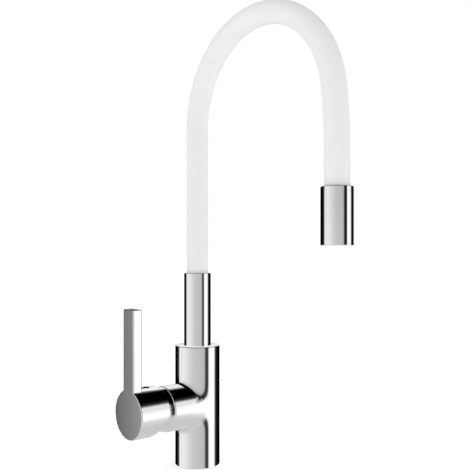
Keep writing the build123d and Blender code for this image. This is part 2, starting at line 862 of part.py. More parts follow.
# The two hoses run the whole length in one piece
hose_foot = flange_top + spigot_height + loose_gap
hose_start = hose_foot - neck_seat
upper_ferrule_foot = nipple_shoulder + loose_gap
hose_end = neck_length - (upper_ferrule_foot - core_end)
with BuildPart() as silicone_hose:
    neck_tube(smooth_run(hose_start, hose_end), hose_radius, 0)
    neck_tube(straight_runs(hose_start, hose_end), hose_bore, 0, mode=Mode.SUBTRACT)
save(silicone_hose, "silicone_hose")

with BuildPart() as inner_water_hose:
    water_run = straight_runs(loose_gap, neck_length - loose_gap)
    neck_tube(water_run, water_hose_radius, water_hose_bore)
save(inner_water_hose, "inner_water_hose")

# Ferrules crimp the silicone hose at the foot and in the head
with BuildPart() as lower_ferrule:
    extrude(
        ring(Plane.XY.offset(hose_foot), ferrule_radius, ferrule_bore),
        amount=lower_ferrule_height,
    )
save(lower_ferrule, "lower_ferrule")

head_axis = Axis((0, -reach, 0), (0, 0, 1))
head_section = Plane(origin=(0, -reach, 0), x_dir=(1, 0, 0), z_dir=(0, -1, 0))


def head_plane(height):
    return Plane(origin=(0, -reach, height))


with BuildPart() as upper_ferrule:
    extrude(
        ring(head_plane(upper_ferrule_foot), ferrule_radius, ferrule_bore),
        amount=upper_ferrule_height,
    )
save(upper_ferrule, "upper_ferrule")

# Outlet head: a chrome tube with a lip round the hose
with BuildPart() as outlet_housing:
    housing = [
        (head_bore, head_bottom),
        (head_radius, head_bottom),
        (head_radius, head_top),
        (lip_bore, head_top),
        (lip_bore, head_top - lip_thickness),
        (head_bore, head_top - lip_thickness),
    ]
    revolve(outline(head_section, housing), axis=head_axis)
    crown = outlet_housing.faces().sort_by(Axis.Z)[-1].edges().sort_by(SortBy.LENGTH)[-1]
    foot = outlet_housing.faces().sort_by(Axis.Z)[0].edges().sort_by(SortBy.LENGTH)[-1]
    chamfer(crown, head_top_bevel)
    chamfer(foot, head_bottom_bevel)
save(outlet_housing, "outlet_housing")

fitting_radius = head_bore - seat_gap
aerator_ring_bore = fitting_radius - aerator_ring_wall
aerator_lip_bore = aerator_ring_bore - aerator_lip_width
with BuildPart() as outlet_nipple:
    barb_top = core_end + nipple_length
    nipple = [
        (stem_bore, nipple_foot),
        (fitting_radius, nipple_foot),
        (fitting_radius, nipple_shoulder),
        (core_seat_radius, nipple_shoulder),
        (core_seat_radius, core_end),
        (nipple_radius, core_end),
        (nipple_radius, barb_top),
        (stem_bore, barb_top),
    ]
    revolve(outline(head_section, nipple), axis=head_axis)
save(outlet_nipple, "outlet_nipple")

with BuildPart() as aerator_seal:
    seal_radius = fitting_radius - loose_gap
    extrude(
        ring(head_plane(seal_foot), seal_radius, seal_radius - aerator_seal_width),
        amount=aerator_seal_thickness,
    )
save(aerator_seal, "aerator_seal")

ring_foot = head_bottom + aerator_recess
with BuildPart() as aerator_ring:
    cage = [
        (aerator_lip_bore, ring_foot),
        (fitting_radius, ring_foot),
        (fitting_radius, ring_foot + aerator_ring_height),
        (aerator_ring_bore, ring_foot + aerator_ring_height),
        (aerator_ring_bore, ring_foot + aerator_lip_height),
        (aerator_lip_bore, ring_foot + aerator_lip_height),
    ]
    revolve(outline(head_section, cage), axis=head_axis)
save(aerator_ring, "aerator_ring")

# Screen: a honeycomb of small cells
mesh_foot = ring_foot + aerator_lip_height + seat_gap
insert_radius = aerator_ring_bore - seat_gap
mesh_pitch = math.sqrt(3) * mesh_hole_radius + mesh_rib
mesh_rings = int((insert_radius - mesh_rim - mesh_hole_radius) / mesh_pitch)
with BuildPart() as aerator_mesh:
    extrude(ring(head_plane(mesh_foot), insert_radius), amount=mesh_thickness)
    with BuildSketch(head_plane(mesh_foot)):
        for row in range(-mesh_rings, mesh_rings + 1):
            cells = 2 * mesh_rings + 1 - abs(row)
            row_height = row * mesh_pitch * math.sin(math.pi / 3)
            with Locations((0, row_height)):
                with GridLocations(mesh_pitch, mesh_pitch, cells, 1):
                    RegularPolygon(mesh_hole_radius, mesh_cell_sides, rotation=mesh_cell_turn)
    extrude(amount=mesh_thickness, mode=Mode.SUBTRACT)
save(aerator_mesh, "aerator_mesh")

insert_foot = mesh_foot + mesh_thickness + seat_gap
with BuildPart() as aerator_insert:
    extrude(ring(head_plane(insert_foot), insert_radius), amount=insert_height)
    insert_slot_ring = insert_radius - insert_rim - insert_slot_length / 2
    with BuildSketch(head_plane(insert_foot)):
        with PolarLocations(insert_slot_ring, insert_slot_count):
            Rectangle(insert_slot_length, insert_slot_width)
    extrude(amount=insert_height, mode=Mode.SUBTRACT)
save(aerator_insert, "aerator_insert")
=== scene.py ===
import json
import math

import bmesh
import bpy
import numpy as np
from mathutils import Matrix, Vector

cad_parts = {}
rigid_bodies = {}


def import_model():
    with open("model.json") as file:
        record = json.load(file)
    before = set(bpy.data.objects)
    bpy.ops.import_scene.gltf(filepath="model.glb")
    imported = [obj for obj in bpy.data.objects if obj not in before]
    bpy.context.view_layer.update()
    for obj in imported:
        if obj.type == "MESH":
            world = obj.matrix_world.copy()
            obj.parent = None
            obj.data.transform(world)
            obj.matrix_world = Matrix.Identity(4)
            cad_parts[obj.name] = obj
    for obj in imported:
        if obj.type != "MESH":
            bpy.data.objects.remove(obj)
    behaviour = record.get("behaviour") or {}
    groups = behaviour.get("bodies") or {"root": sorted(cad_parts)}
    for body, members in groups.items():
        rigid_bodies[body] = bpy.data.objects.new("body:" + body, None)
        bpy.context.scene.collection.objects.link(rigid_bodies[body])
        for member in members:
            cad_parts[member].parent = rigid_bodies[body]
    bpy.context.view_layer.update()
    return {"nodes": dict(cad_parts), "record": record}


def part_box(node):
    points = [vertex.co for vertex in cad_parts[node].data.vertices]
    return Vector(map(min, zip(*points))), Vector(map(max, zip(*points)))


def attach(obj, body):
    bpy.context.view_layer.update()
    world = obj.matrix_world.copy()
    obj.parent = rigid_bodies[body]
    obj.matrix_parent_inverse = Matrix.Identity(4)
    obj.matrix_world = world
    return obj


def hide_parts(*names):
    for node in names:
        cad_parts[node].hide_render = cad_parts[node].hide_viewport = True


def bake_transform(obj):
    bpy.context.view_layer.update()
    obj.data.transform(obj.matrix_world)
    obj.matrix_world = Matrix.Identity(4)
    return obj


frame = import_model()
nodes = frame["nodes"]
slotOf = {part["node"]: part["material_slot"] for part in frame["record"]["subparts"]}
mm = 0.001
print("frame loaded,", len(nodes), "nodes")

# Directions of the model: the spout points to -Y, the lever arm to -X
right, back, up = np.eye(3)


# Materials

def linear(code):
    # sRGB hex to linear: a straight foot near black, then a power of 2.4
    tone = np.array([int(code[at:at + 2], 16) for at in (1, 3, 5)]) / 255
    return (*np.where(tone <= 0.04045, tone / 12.92, ((tone + 0.055) / 1.055) ** 2.4), 1.0)


def addNode(tree, kind, inputs=(), stops=(), **settings):
    # One node: its settings, the stops of a ramp, and its inputs, where another node's output
    # is linked and anything else is set as a value
    node = tree.nodes.new(kind)
    for name, value in settings.items():
        setattr(node, name, value)
    for name, value in dict(inputs).items():
        if isinstance(value, bpy.types.NodeSocket):
            tree.links.new(value, node.inputs[name])
        else:
            node.inputs[name].default_value = value
    for number, (place, colour) in enumerate(stops):
        ramp = node.color_ramp.elements
        stop = ramp[number] if number < 2 else ramp.new(place)
        stop.position, stop.color = place, colour
    return node


def newMaterial(name, **values):
    # A material with plain values on its shader, and its Object coordinates
    material = bpy.data.materials.new(name)
    material.use_nodes = True
    tree = material.node_tree
    shader = tree.nodes["Principled BSDF"]
    for socket, value in values.items():
        shader.inputs[socket.replace("_", " ")].default_value = value
    place = addNode(tree, "ShaderNodeTexCoord").outputs["Object"]
    return material, tree, shader, place


def addBump(tree, shader, noise, heightMm):
    # A bump of a real height over a noise
    bump = addNode(tree, "ShaderNodeBump", {"Distance": heightMm * mm,
                                            "Height": noise.outputs["Fac"]})
    tree.links.new(bump.outputs["Normal"], shader.inputs["Normal"])


# Noise keeps near its middle, so these parts of it fill the roughness's range and the tint's
roughSpan, tintSpan = (0.3, 0.7), (0.35, 0.65)


def roughen(tree, shader, place, look):
    # Noise with grains of a real size gives the roughness its range, and a bump where the
    # look has a height
    scaled = addNode(tree, "ShaderNodeVectorMath", {0: place, 1: look.get("stretch", (1, 1, 1))},
                     operation="MULTIPLY")
    noise = addNode(tree, "ShaderNodeTexNoise", {"Scale": 1 / (look["grainMm"] * mm),
                                                 "Detail": 3.0,
                                                 "Vector": scaled.outputs["Vector"]})
    low, high = look["roughness"]
    span = addNode(tree, "ShaderNodeMapRange", {"Value": noise.outputs["Fac"], "To Min": low,
                                                "To Max": high, "From Min": roughSpan[0],
                                                "From Max": roughSpan[1]})
    tree.links.new(span.outputs["Result"], shader.inputs["Roughness"])
    if "heightMm" in look:
        addBump(tree, shader, noise, look["heightMm"])
    return noise


def tint(tree, shader, noise, colours):
    # The colour drifts between two close tones with the noise
    mix = addNode(tree, "ShaderNodeValToRGB", {"Fac": noise.outputs["Fac"]},
                  [(share, linear(colour)) for share, colour in zip(tintSpan, colours)])
    tree.links.new(mix.outputs["Color"], shader.inputs["Base Color"])


def grainedMaterial(name, look, **values):
    # A material whose colour and roughness follow one noise
    material, tree, shader, place = newMaterial(name, **values)
    tint(tree, shader, roughen(tree, shader, place, look), look["colours"])
    return material


# Bright chrome on a buffed brass casting, electroplated: a hard mirror with a trace of
# buffing haze and the slightest waviness
chrome = {"colour": "#DCDCDC", "grainMm": 16, "roughness": (0.015, 0.045), "heightMm": 0.0025}
chromePlate, tree, shader, place = newMaterial("chromePlate", Metallic=1.0,
                                               Base_Color=linear(chrome["colour"]))
roughen(tree, shader, place, chrome)

# White silicone rubber, extruded as a hose: matt and soft, light goes a little way in,
# and the die leaves faint lines along it
silicone = {"colours": ("#EEEEEE", "#F0F0F0"), "grainMm": 3, "roughness": (0.5, 0.6),
            "lineMm": 0.9, "lineStretch": (1, 0.02, 1), "lineHeightMm": 0.012, "depth": 0.0015}
whiteSilicone, tree, shader, place = newMaterial(
    "whiteSilicone", IOR=1.41, Subsurface_Weight=0.1, Subsurface_Scale=silicone["depth"],
    Subsurface_Radius=(1, 1, 1))
tint(tree, shader, roughen(tree, shader, place, silicone), silicone["colours"])
# The hose's map runs round it in U and along it in V, both in metres
along = addNode(tree, "ShaderNodeUVMap", uv_map="hoseMap")
drawn = addNode(tree, "ShaderNodeVectorMath", {0: along.outputs["UV"],
                                               1: silicone["lineStretch"]},
                operation="MULTIPLY")
lines = addNode(tree, "ShaderNodeTexNoise", {"Scale": 1 / (silicone["lineMm"] * mm),
                                             "Vector": drawn.outputs["Vector"]})
addBump(tree, shader, lines, silicone["lineHeightMm"])

# Turned brass, machined and left bare: warm, with fine tool marks
brass = {"colours": ("#C3A055", "#D0B066"), "grainMm": 0.6, "roughness": (0.22, 0.34),
         "heightMm": 0.002}
turnedBrass = grainedMaterial("turnedBrass", brass, Metallic=1.0)

# Stainless steel, turned or drawn: a grey satin with short scratches
steel = {"colours": ("#B9B9B7", "#C6C6C4"), "grainMm": 0.8, "roughness": (0.24, 0.36),
         "heightMm": 0.002, "stretch": (1, 1, 0.2)}
stainlessSteel = grainedMaterial("stainlessSteel", steel, Metallic=1.0)

# Oiled spring steel of the core links: darker, with an oily sheen that varies
links = {"colours": ("#8C8C8A", "#A3A3A0"), "grainMm": 4, "roughness": (0.2, 0.45)}
linkSteel = grainedMaterial("linkSteel", links, Metallic=1.0)

# Alumina ceramic, sintered and lapped: off-white, dense and silky
ceramic = {"colours": ("#EDEBE4", "#F2F0EA"), "grainMm": 0.5, "roughness": (0.18, 0.26)}
aluminaCeramic = grainedMaterial("aluminaCeramic", ceramic, IOR=1.76)

# Acetal, injection moulded: milky white with a low sheen
acetal = {"colours": ("#E0E0DC", "#E7E7E3"), "grainMm": 1.2, "roughness": (0.34, 0.44),
          "heightMm": 0.003}
acetalPlastic = grainedMaterial("acetalPlastic", acetal, IOR=1.48)

# EPDM rubber, moulded: black with a dry grey bloom
rubber = {"colours": ("#202021", "#2C2C2D"), "grainMm": 1.5, "roughness": (0.6, 0.75),
          "heightMm": 0.01}
blackRubber = grainedMaterial("blackRubber", rubber, IOR=1.52)

# Polyethylene hose, extruded: a cold white with a waxy sheen
pipe = {"colours": ("#DDE1E6", "#E5E8EC"), "grainMm": 3, "roughness": (0.35, 0.45)}
hosePlastic = grainedMaterial("hosePlastic", pipe, IOR=1.51)

# Screw plug in dark polypropylene, moulded: fine grain and a dull sheen
plugLook = {"colours": ("#121213", "#1C1C1E"), "grainMm": 0.5, "roughness": (0.45, 0.6),
            "heightMm": 0.01}
plugPlastic = grainedMaterial("plugPlastic", plugLook, IOR=1.49, Specular_IOR_Level=0.05)

finishes = {
    "chrome_plate": chromePlate, "white_silicone": whiteSilicone, "turned_brass": turnedBrass,
    "stainless_steel": stainlessSteel, "link_steel": linkSteel, "black_rubber": blackRubber,
    "alumina_ceramic": aluminaCeramic, "acetal_plastic": acetalPlastic,
    "hose_plastic": hosePlastic, "plug_plastic": plugPlastic,
}
for name, node in nodes.items():
    node.data.materials.clear()
    node.data.materials.append(finishes[slotOf[name]])
print("materials made:", len(finishes))


# Shapes

# Points nearer than this, in millimetres, are one
mergeDistance = 0.0005


def gridFaces(rows, columns, first, closed):
    # Quads between neighbouring rows and columns of a grid of points; a closed grid wraps
    wide = columns if closed else columns - 1
    row, column = np.meshgrid(np.arange(rows - 1), np.arange(wide), indexing="ij")
    after = (column + 1) % columns
    corners = (row * columns + column, row * columns + after,
               (row + 1) * columns + after, (row + 1) * columns + column)
    return first + np.stack(corners, axis=-1).reshape(-1, 4)


def makePiece(name, grids, slotName, sharpAngle=30.0, weighted=True):
    # A mesh from grids of points in millimetres: grids share their edges, doubles are merged
    # and the faces turned outwards
    points, faces, first = [], [], 0
    for grid, closed in grids:
        points.append(grid.reshape(-1, 3) * mm)
        faces.append(gridFaces(*grid.shape[:2], first, closed))
        first += len(points[-1])
    mesh = bpy.data.meshes.new(name)
    mesh.from_pydata(np.concatenate(points).tolist(), [], np.concatenate(faces).tolist())
    build = bmesh.new()
    build.from_mesh(mesh)
    bmesh.ops.remove_doubles(build, verts=build.verts, dist=mergeDistance * mm)
    bmesh.ops.recalc_face_normals(build, faces=build.faces)
    build.to_mesh(mesh)
    build.free()
    piece = bpy.data.objects.new(name, mesh)
    bpy.context.scene.collection.objects.link(piece)
    return finishPiece(piece, slotName, sharpAngle, weighted)


def finishPiece(piece, slotName, sharpAngle=30.0, weighted=True):
    # Material, smooth shading with sharp edges, and normals that keep the flat faces flat
    mesh = piece.data
    mesh.materials.clear()
    mesh.materials.append(finishes[slotName])
    mesh.shade_smooth()
    mesh.set_sharp_from_angle(angle=math.radians(sharpAngle))
    if weighted:
        flat = piece.modifiers.new("flatFaces", "WEIGHTED_NORMAL")
        flat.keep_sharp = True
        flat.weight = 100
    return piece


def evaluatedMesh(piece):
    # A new mesh of what the piece's live modifiers make of it
    bpy.context.view_layer.update()
    done = piece.evaluated_get(bpy.context.evaluated_depsgraph_get())
    return bpy.data.meshes.new_from_object(done)


def combine(piece, tool, operation):
    # Joins a closed tool with the piece, or cuts it out of it, and drops the tool
    step = piece.modifiers.new("combine", "BOOLEAN")
    step.object, step.operation, step.solver = tool, operation, "EXACT"
    piece.modifiers.move(len(piece.modifiers) - 1, 0)
    others = [modifier for modifier in piece.modifiers if modifier != step]
    for modifier in others:
        modifier.show_viewport = False
    piece.data = evaluatedMesh(piece)
    piece.modifiers.remove(step)
    for modifier in others:
        modifier.show_viewport = True
    bpy.data.objects.remove(tool)


def settle(piece):
    # What the modifiers make of the piece becomes its mesh
    piece.data = evaluatedMesh(piece)
    piece.modifiers.clear()


def rounded(corners, steps=5):
    # A line through corners (radius, height, fillet): each fillet is an arc that touches both
    # of its sides, from its centre c as c + (sin((1 - k) w) s + sin(k w) e) / sin(w)
    line = []
    for number, (radius, height, fillet) in enumerate(corners):
        corner = np.array([radius, height], float)
        if not fillet:
            line.append(corner[None])
            continue
        before = np.array(corners[number - 1][:2]) - corner
        after = np.array(corners[(number + 1) % len(corners)][:2]) - corner
        before, after = before / np.linalg.norm(before), after / np.linalg.norm(after)
        half = math.acos(np.clip(before @ after, -1, 1)) / 2
        middle = (before + after) / np.linalg.norm(before + after)
        centre = corner + middle * fillet / math.sin(half)
        start = corner + before * fillet / math.tan(half) - centre
        end = corner + after * fillet / math.tan(half) - centre
        turn = math.pi - 2 * half
        share = np.linspace(0, 1, steps + 1)[:, None]
        line.append(centre + (np.sin((1 - share) * turn) * start
                              + np.sin(share * turn) * end) / math.sin(turn))
    return np.concatenate(line)


def fullTurn(segments):
    # Angles k 2 pi / n for k from 0 to n - 1
    return np.arange(segments) * 2 * math.pi / segments


def turned(line, angles, foot, axis, side):
    # A line of (r, h) turned about an axis: foot + h axis + r (cos(a) side + sin(a) across)
    foot, axis, side = (np.array(item, float) for item in (foot, axis, side))
    across = np.cross(axis, side)
    ring = np.cos(angles)[:, None] * side + np.sin(angles)[:, None] * across
    return foot + line[:, None, 1:] * axis + line[:, None, :1] * ring


def closedLine(line):
    # The line with its first point again at its end
    return np.concatenate([line, line[:1]])


# Tap body: column and arm meet in a crisp seam, as cast and buffed

body = {
    "columnRadius": 23.3, "columnHeight": 124.2, "armRadius": 23.15, "armHeight": 62.3,
    "armReach": 44.5, "mouthFillet": 1.1, "rimFillet": 0.95, "baseFillet": 0.4,
    "segments": 96, "eastSegments": 104,
    # The groove as outer radius, inner radius and depth; the socket as its radius and floor,
    # then the journal bore's; the mouth and the chamber behind it as radius and floor
    "groove": (20.45, 17.75, 2.0), "socket": (14.1, 103.0, 11.1, 85.0),
    "mouth": (19.6, 39.5), "chamber": (17.7, 15.0),
    # Rows of a wall between the seam and its far edge, closer near the seam
    "seamShares": (0, 0.006, 0.014, 0.024, 0.036, 0.05, 0.066, 0.085, 0.11, 0.14, 0.175, 0.22,
                   0.28, 0.36, 0.5, 1),
    "socketEdge": 0.3, "mouthEdge": 0.2,
    # Holes as radius and depth; the keeper's as radius, height, and its reach from the axis
    "inlets": ((-6.0, 7.2), (-6.0, -7.2)), "inletHole": (4.5, 12.0), "inletBore": (3.0, 40.0),
    "stud": (9.5, 0.0), "studHole": (3.4, 18.0), "keeper": (2.05, 110.2, 12.5, 25.0),
}


def tapBodyGrids():
    # Both tubes share the seam: at side distance y = A sin(t) it lies at
    # x = -sqrt(C^2 - y^2), z = h +- A cos(t), with C the column's radius and A the arm's
    radius, arm, height = body["columnRadius"], body["armRadius"], body["armHeight"]
    low, high = body["baseFillet"], body["columnHeight"] - body["rimFillet"]
    turn = np.linspace(-math.pi / 2, math.pi / 2, body["segments"] + 1)
    side, rise = arm * np.sin(turn), arm * np.cos(turn)
    west = np.arcsin(side / radius)
    rows = np.array(body["seamShares"])[:, None]
    flat = np.ones_like(rows)

    def wall(angles, heights):
        return np.stack([-radius * np.cos(angles) * flat, radius * np.sin(angles) * flat,
                         heights], axis=-1)

    lower = wall(west, (height - rise) + (low - height + rise) * rows)
    upper = wall(west, (height + rise) + (high - height - rise) * rows)
    east = np.linspace(west[-1], 2 * math.pi + west[0], body["eastSegments"] + 1)
    eastLower = wall(east, height + (low - height) * rows + 0 * east)
    eastUpper = wall(east, height + (high - height) * rows + 0 * east)
    ring = np.concatenate([west, east[1:-1]])
    gasketOut, gasketIn, depth = body["groove"]
    foot = rounded([(radius, low, 0), (radius, 0, low), (gasketOut, 0, 0), (gasketOut, depth, 0),
                    (gasketIn, depth, 0), (gasketIn, 0, 0), (0, 0, 0)])[1:]
    socket, floor, journal, deep = body["socket"]
    top = body["columnHeight"]
    head = rounded([(radius, high, 0), (radius, top, body["rimFillet"]),
                    (socket, top, body["socketEdge"]), (socket, floor, 0), (journal, floor, 0),
                    (journal, deep, 0), (0, deep, 0)])[1:]
    spin = (ring, (0, 0, 0), up, -right)
    armTurn = np.linspace(-math.pi, math.pi, 2 * body["segments"] + 1)[:-1]
    reach, edge = body["armReach"], body["mouthFillet"]
    start = np.sqrt(radius ** 2 - (arm * np.sin(armTurn)) ** 2)
    out = start + (reach - edge - start) * rows
    arms = np.stack([-out, arm * np.sin(armTurn) * flat, height + arm * np.cos(armTurn) * flat],
                    axis=-1)
    mouth, shoulder = body["mouth"]
    chamber, inmost = body["chamber"]
    inside = rounded([(arm, reach - edge, 0), (arm, reach, edge), (mouth, reach, body["mouthEdge"]),
                      (mouth, shoulder, 0), (chamber, shoulder, 0), (chamber, inmost, 0),
                      (0, inmost, 0)])[1:]
    # About the arm the turn starts at the top and runs to +Y
    mouthGrid = turned(inside, armTurn, (0, 0, height), -right, up)
    return [(lower, False), (upper, False), (eastLower, False), (eastUpper, False),
            (turned(foot, *spin), True), (turned(head, *spin), True),
            (arms, True), (mouthGrid, True)]


# The seam is linished, so light runs round it: each side takes some of the other's direction.
# Reaches, starts and the tip are millimetres, falls are powers, and shares are parts of 1
seam = {"columnReach": 12.3, "turnFall": 3.85, "tiltFall": 4.9, "armReach": 2.5,
        "armReachSide": 9.9, "armFall": 0.3, "share": 0.557, "turnShareSide": 0.414,
        "tiltShareSide": -0.243, "sideStart": 20.7, "sideFall": 0.855, "tip": 9.57,
        "wallTolerance": 0.05}


def cornerFacts(mesh):
    # For each corner of each face its normal, its place and its face's centre, the last two in
    # millimetres from the crossing of the axes; and how many corners each face has
    crossing = np.array([0, 0, body["armHeight"]])
    loops, verts, polygons = len(mesh.loops), len(mesh.vertices), len(mesh.polygons)
    normals, corner = np.empty(loops * 3, np.float32), np.empty(loops, np.int32)
    points, centres = np.empty(verts * 3, np.float32), np.empty(polygons * 3, np.float32)
    sizes = np.empty(polygons, np.int32)
    mesh.corner_normals.foreach_get("vector", normals)
    mesh.loops.foreach_get("vertex_index", corner)
    mesh.vertices.foreach_get("co", points)
    mesh.polygons.foreach_get("center", centres)
    mesh.polygons.foreach_get("loop_total", sizes)
    place = points.reshape(-1, 3)[corner] / mm - crossing
    centre = np.repeat(centres.reshape(-1, 3), sizes, axis=0) / mm - crossing
    return normals.reshape(-1, 3), place, centre, sizes


def softenSeam(mesh):
    # Corner normals on both walls. With d the distance from the other wall and s the share at
    # the seam, which changes towards its sides, the arm's part in the compass turn and in the
    # tilt is h = s (1 - d / reach)^fall on the column, and h = 1 - (1 - s) (1 - d / reach)^fall
    # on the arm. The tilt fades out towards the seam's tips
    normals, place, centre, sizes = cornerFacts(mesh)
    x, y, z = place.T
    fromColumn = np.hypot(x, y) - body["columnRadius"]
    fromArm = np.hypot(y, z) - body["armRadius"]
    slack = seam["wallTolerance"]
    rise = body["columnHeight"] - body["armHeight"] - body["rimFillet"]
    fall = body["armHeight"] - body["baseFillet"]
    # A face belongs to a wall where all its corners lie on that wall
    starts = np.concatenate([[0], np.cumsum(sizes)[:-1]])
    onColumn = np.maximum.reduceat(np.abs(fromColumn), starts) < slack
    onArm = np.maximum.reduceat(np.abs(fromArm), starts) < slack
    onColumn = np.repeat(onColumn, sizes) & (centre[:, 2] < rise) & (centre[:, 2] > -fall)
    onArm = np.repeat(onArm, sizes) & (centre[:, 0] < 0) & ~onColumn
    onArm &= centre[:, 0] > body["mouthFillet"] - body["armReach"]
    side = np.clip((np.abs(y) - seam["sideStart"]) / (body["columnRadius"] - seam["sideStart"]),
                   0, 1) ** seam["sideFall"]
    turnSeam = seam["share"] + seam["turnShareSide"] * side
    west = np.clip(-x / seam["tip"], 0, 1)
    west = west * west * (3 - 2 * west)
    tiltSeam = (seam["share"] + seam["tiltShareSide"] * side) * west
    columnFade = np.clip(1 - np.maximum(fromArm, 0) / seam["columnReach"], 0, 1)
    armReach = seam["armReach"] + seam["armReachSide"] * side
    armFade = np.clip(1 - np.maximum(fromColumn, 0) / armReach, 0, 1) ** seam["armFall"]
    turnPart = np.where(onArm, 1 - (1 - turnSeam) * armFade,
                        turnSeam * columnFade ** seam["turnFall"] * (x < 0))
    tiltPart = np.where(onArm, 1 - (1 - tiltSeam) * armFade,
                        tiltSeam * columnFade ** seam["tiltFall"])
    away = np.hypot(x, y)
    flatX = (1 - turnPart) * x / np.maximum(away, slack)
    flatY = (1 - turnPart) * y / np.maximum(away, slack) + turnPart * np.sign(y)
    length = np.maximum(np.hypot(flatX, flatY), slack)
    tilt = tiltPart * np.arctan2(z, np.abs(y))
    mixed = np.stack([flatX / length * np.cos(tilt), flatY / length * np.cos(tilt), np.sin(tilt)],
                     axis=-1)
    onWall = (onColumn | onArm)[:, None]
    mesh.normals_split_custom_set(np.where(onWall, mixed, normals).tolist())


def rod(radius, start, end, foot, axis, side, segments=48):
    # A closed rod from one height to another along an axis, as a tool for combine
    line = np.array([(0, start), (radius, start), (radius, end), (0, end)], float)
    return makePiece("tool", [(turned(line, fullTurn(segments), foot, axis, side), True)],
                     "chrome_plate")


tapBody = makePiece("tapBody", tapBodyGrids(), "chrome_plate")
holes = [(spot, hole) for spot in body["inlets"] for hole in (body["inletHole"], body["inletBore"])]
for spot, (radius, depth) in [*holes, (body["stud"], body["studHole"])]:
    combine(tapBody, rod(radius, -1, depth, (*spot, 0), up, right), "DIFFERENCE")
radius, height, start, end = body["keeper"]
combine(tapBody, rod(radius, start, end, (0, 0, height), back, right), "DIFFERENCE")
finishPiece(tapBody, "chrome_plate", weighted=False)
settle(tapBody)
softenSeam(tapBody.data)
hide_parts("tap_body")
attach(tapBody, "root")
print("tap body made,", len(tapBody.data.polygons), "faces")

# Dome: a ball face, seen in the gap between arm and cap. Its places are distances along the arm
dome = {"radius": 22.6, "wall": 1.2, "centre": 42.0, "start": 44.55, "opening": 48.5,
        "skirtTop": 48.45, "skirtBore": 19.65, "steps": 24, "segments": 160}


def domeLine():
    # Two arcs about a centre, r = R sin(w) and h = centre + R cos(w), joined by a lip and skirt
    radius, centre = dome["radius"], dome["centre"]
    lip = math.radians(dome["opening"])
    bore = radius - dome["wall"]
    foot = math.acos((dome["start"] - centre) / radius)
    top = math.acos((dome["skirtTop"] - centre) / bore)
    outer, inner = np.linspace(foot, lip, dome["steps"]), np.linspace(lip, top, dome["steps"])
    arcs = [np.stack([size * np.sin(run), centre + size * np.cos(run)], axis=-1)
            for size, run in ((radius, outer), (bore, inner))]
    skirt = np.array([(dome["skirtBore"], dome["skirtTop"]), (dome["skirtBore"], dome["start"])])
    return closedLine(np.concatenate([*arcs, skirt]))


armFoot = (0, 0, body["armHeight"])
domeCover = makePiece("domeCover", [(turned(domeLine(), fullTurn(dome["segments"]), armFoot,
                                            -right, up), True)], "chrome_plate")
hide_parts("dome_cover")
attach(domeCover, "root")

# Lever: a round cap, cut back below so that it can tilt, and a flat blade flush with its face.
# The rear edge as steps of radius and reach; the boss and the plug's hole as radius and start
lever = {"radius": 24.7, "wall": 1.7, "face": 84.8, "faceBack": 81.3, "rear": 51.9,
         "reliefAngle": 30.0, "edge": 0.9,
         "rearEdge": ((0, 0.2), (-0.03, 0.08), (-0.08, 0.03), (-0.2, 0)),
         "segments": 192, "bladeWidth": 18.9, "bladeThickness": 10.1, "bladeEdge": 1.0,
         "bladeBackEdge": 1.4, "bladeTopEdge": 1.1, "bladeFoot": 83.0, "bladeTop": 165.6,
         "cornerSteps": 8, "topSteps": 6, "leastEdge": 0.1, "boss": (6.8, 61.0),
         "bossOverlap": 0.5, "plugSpot": 64.5, "plugHole": (3.65, 83.5), "plugCut": 90.0}


def capGrid():
    # Turned about the arm; the rear rim lies at u = rear + max(0, -r cos(w)) tan(relief)
    turn = fullTurn(lever["segments"])
    radius, face, edge = lever["radius"], lever["face"], lever["edge"]
    bore = radius - lever["wall"]
    front = rounded([(0, face, 0), (radius, face, edge), (radius, face - 2 * edge, 0)])
    frontGrid = turned(front, turn, armFoot, -right, up)

    def ring(size, shift):
        drop = np.maximum(0, -size * np.cos(turn)) * math.tan(math.radians(lever["reliefAngle"]))
        reach = lever["rear"] + drop + shift
        return np.stack([-reach, size * np.sin(turn), armFoot[2] + size * np.cos(turn)], axis=-1)

    rim = [ring(radius + shrink, shift) for shrink, shift in lever["rearEdge"]]
    inside = turned(np.array([(bore, lever["faceBack"]), (0, lever["faceBack"])], float), turn,
                    armFoot, -right, up)
    return np.concatenate([frontGrid, np.stack([*rim, ring(bore, 0)]), inside])


def bladeGrid():
    # A rounded rectangle carried up from the cap. Its rounded top follows a quarter circle:
    # inset = e (1 - cos(q)), height = top - e + e sin(q)
    wide, thick, front = lever["bladeWidth"] / 2, lever["bladeThickness"], -lever["face"]
    foot, top, bevel = lever["bladeFoot"], lever["bladeTop"], lever["bladeTopEdge"]

    def outline(inset, height):
        near = max(lever["bladeEdge"] - inset, lever["leastEdge"])
        far = max(lever["bladeBackEdge"] - inset, lever["leastEdge"])
        west, east, side = front + inset, front + thick - inset, wide - inset
        corners = [(west, -side, near), (east, -side, far), (east, side, far), (west, side, near)]
        line = rounded(corners, lever["cornerSteps"])
        return np.concatenate([line, np.full((len(line), 1), height)], axis=1)

    quarter = np.linspace(0, math.pi / 2, lever["topSteps"] + 1)
    rows = [outline(0, foot)]
    rows += [outline(bevel * (1 - math.cos(q)), top - bevel + bevel * math.sin(q)) for q in quarter]
    low, high = rows[0].copy(), rows[-1].copy()
    low[:, :2] = high[:, :2] = (front + thick / 2, 0)
    return np.stack([low, *rows, high])


